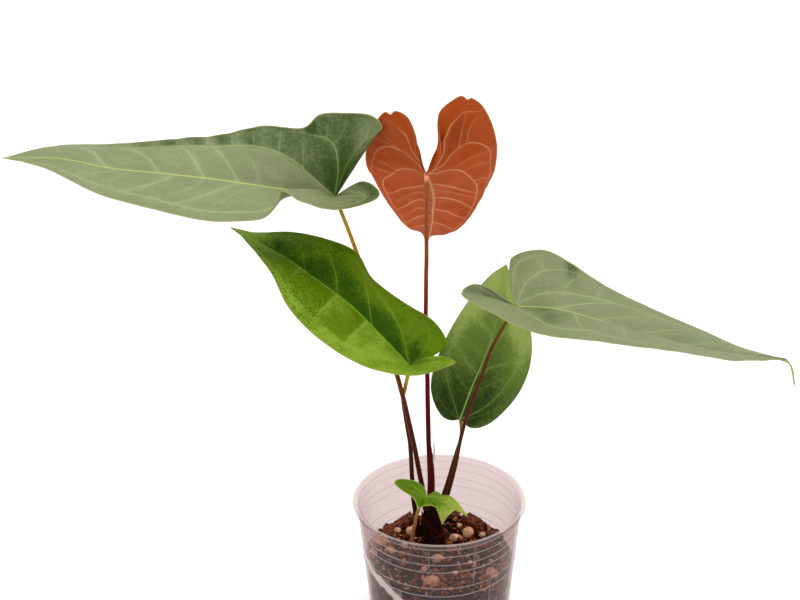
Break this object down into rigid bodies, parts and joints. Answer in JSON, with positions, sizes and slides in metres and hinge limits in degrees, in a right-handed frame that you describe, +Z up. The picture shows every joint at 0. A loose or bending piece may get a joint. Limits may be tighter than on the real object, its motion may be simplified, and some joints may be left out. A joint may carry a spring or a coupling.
{
  "type": "potted anthurium",
  "caption": "Young velvet-leaved anthurium with long arrowhead leaves and one red new leaf, growing in coarse mix in a round frosted nursery pot.",
  "frame": {"origin": "centre of the pot's flat underside, on the surface it rests on", "axes": "+Z up along the pot's axis; +X towards the tip of the large right leaf, along the plant's widest spread; +Y towards the back, where the red leaf hangs"},
  "size_m": [0.4288, 0.1953, 0.3405],
  "materials": {
    "frosted_plastic": "frosted translucent polypropylene, thin wall with moulded rings",
    "potting_mix": "loose coarse orchid mix: coco fibre, fine bark and pumice crumbs",
    "crown": "dark brown sheath bases, dull and fibrous",
    "leaf_green": "velvety leaf with paler veins",
    "leaf_red": "soft new leaf, satin, with tan veins",
    "leaf_young_green": "thin fresh leaf, satin",
    "petiole_brown": "smooth satin stalk",
    "petiole_red": "smooth satin stalk",
    "petiole_pale": "smooth satin stalk",
    "sheath_red": "dry torn sheath",
    "sheath_papery": "thin dry translucent flake",
    "pumice": "rough porous crushed stone",
    "bark": "rough splintered bark"
  },
  "bodies": {
    "root": {"pot": "frosted_plastic", "potting_mix": "potting_mix", "crown": "crown", "leaf_left_large": "leaf_green", "leaf_centre_left": "leaf_green", "leaf_right_large": "leaf_green", "leaf_upright_small": "leaf_green", "leaf_red_new": "leaf_red", "leaf_basal_new": "leaf_young_green", "petiole_left_large": "petiole_brown", "petiole_centre_left": "petiole_brown", "petiole_right_large": "petiole_brown", "petiole_upright_small": "petiole_brown", "petiole_red_new": "petiole_red", "petiole_basal_new": "petiole_pale", "sheath_dark_red": "sheath_red", "sheath_papery": "sheath_papery", "pumice_large_left": "pumice", "pumice_front_left": "pumice", "pumice_mid_left": "pumice", "pumice_back_right": "pumice", "pumice_right": "pumice", "pumice_front": "pumice", "pumice_front_right": "pumice", "bark_back_left": "bark", "bark_left_back": "bark", "bark_back": "bark", "bark_back_right": "bark", "bark_right": "bark", "bark_right_front": "bark"}
  },
  "joints": []
}
